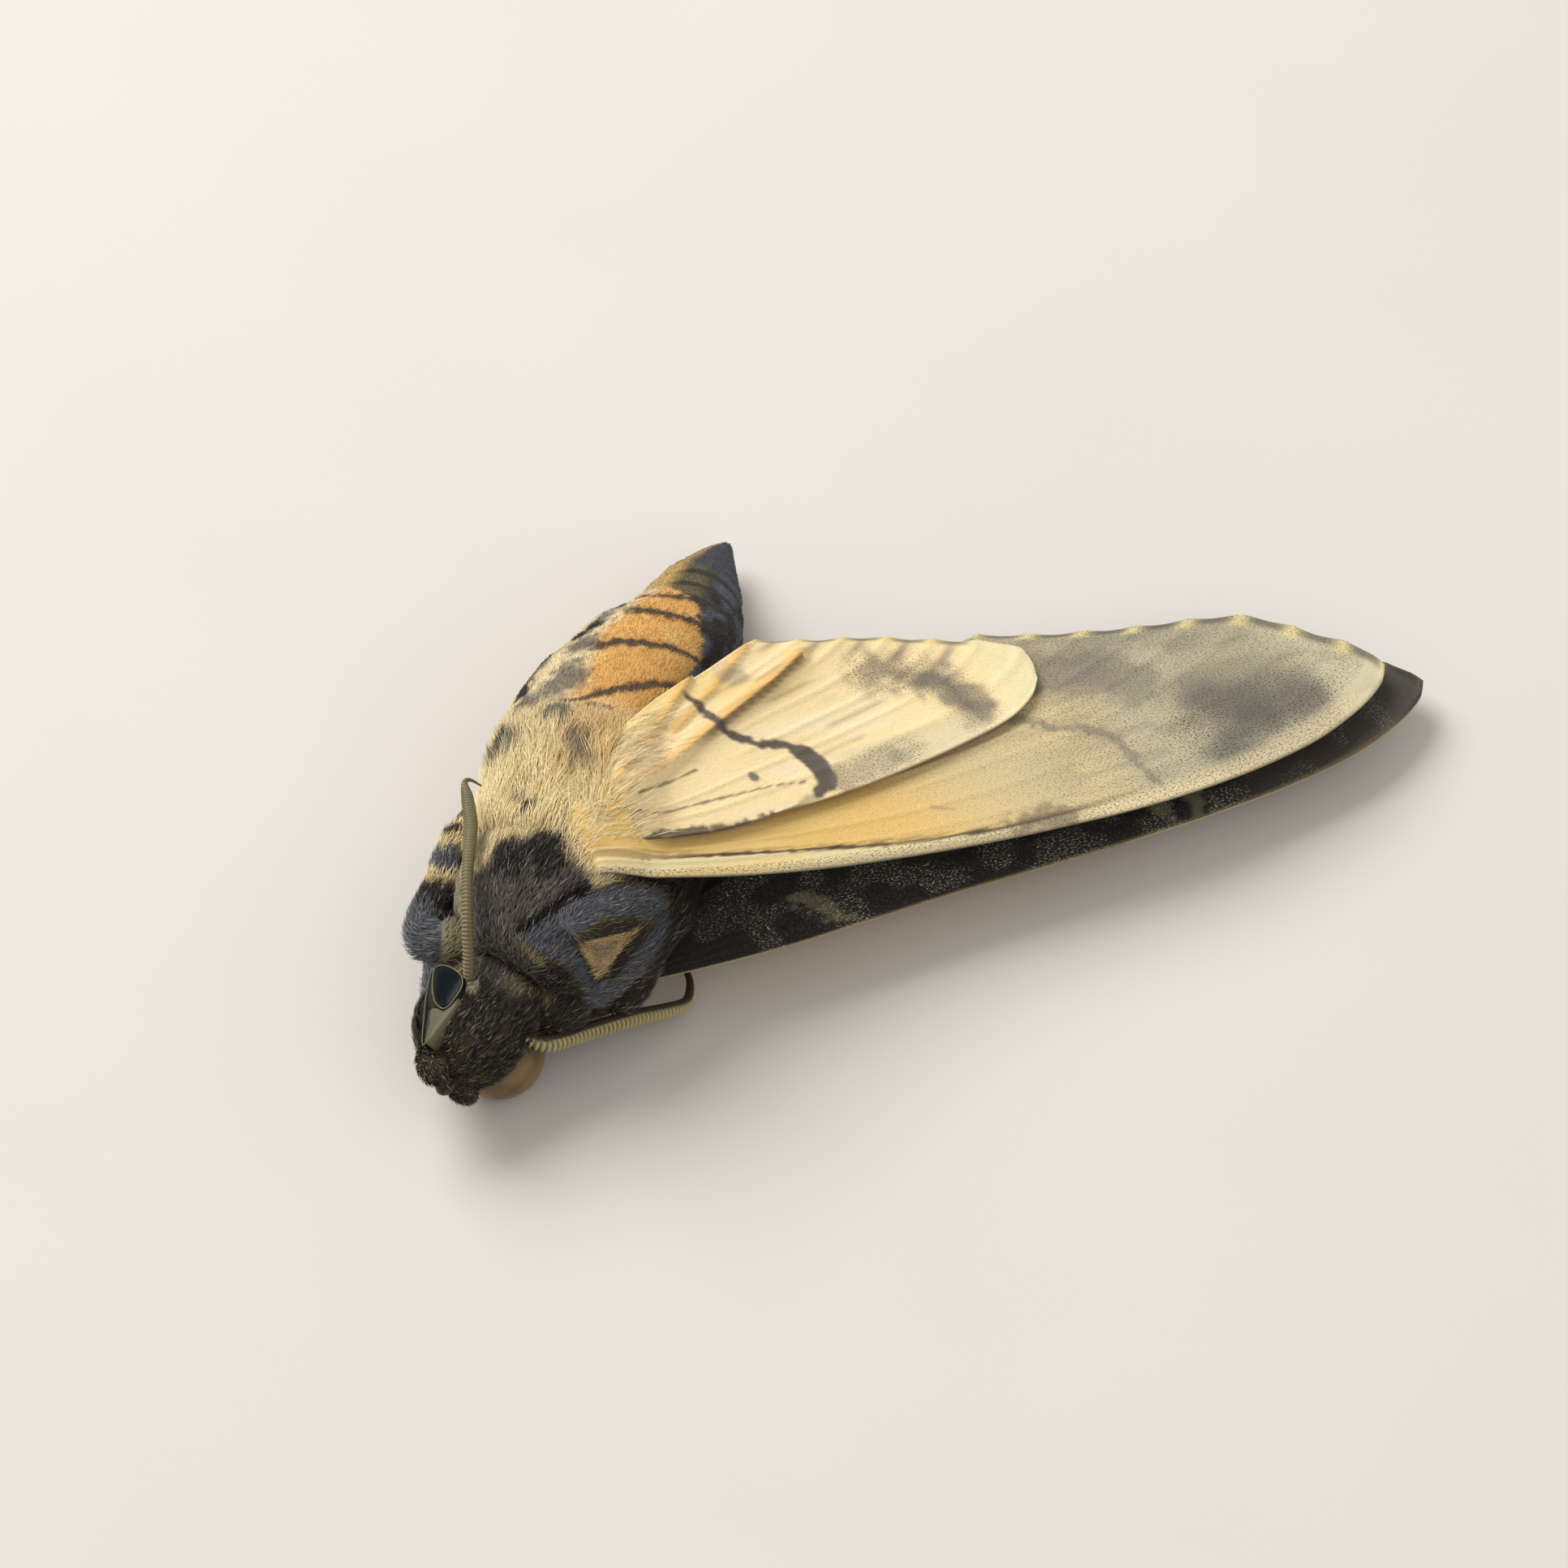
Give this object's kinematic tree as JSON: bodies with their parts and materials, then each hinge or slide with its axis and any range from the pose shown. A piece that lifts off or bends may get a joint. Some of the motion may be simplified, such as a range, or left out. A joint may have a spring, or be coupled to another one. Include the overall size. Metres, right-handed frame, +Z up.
{
  "type": "hawkmoth specimen",
  "caption": "Dried lesser death's head hawkmoth lying on its left side, wings closed over its back, with furry thorax, banded abdomen and thick antennae.",
  "frame": {"origin": "centre of the thorax's small flat on the floor", "axes": "+Z up from the floor, +X along the closed wings towards their tips, +Y towards the tail"},
  "size_m": [0.0592, 0.0425, 0.0136],
  "materials": {
    "dark_fur": "matte short dark brown and black hair",
    "abdomen": "matte orange-yellow scales with dark rings",
    "wing": "matte cream and ochre scales",
    "wing_dark": "matte black-brown scales with pale flecks",
    "eye": "glossy brown",
    "eye_dark": "glossy black",
    "chitin": "dull olive-brown"
  },
  "bodies": {
    "root": {"abdomen": "abdomen", "antenna_left": "chitin", "antenna_right": "chitin", "eye_left": "eye", "eye_right": "eye_dark", "forewing_left": "wing_dark", "forewing_right": "wing", "head": "dark_fur", "hindwing_left": "wing_dark", "hindwing_right": "wing", "leg_fore_left": "dark_fur", "leg_fore_right": "dark_fur", "leg_hind_left": "dark_fur", "leg_hind_right": "dark_fur", "leg_mid_left": "dark_fur", "leg_mid_right": "dark_fur", "palp_left": "dark_fur", "palp_right": "dark_fur", "proboscis": "chitin", "thorax": "dark_fur"}
  },
  "joints": []
}
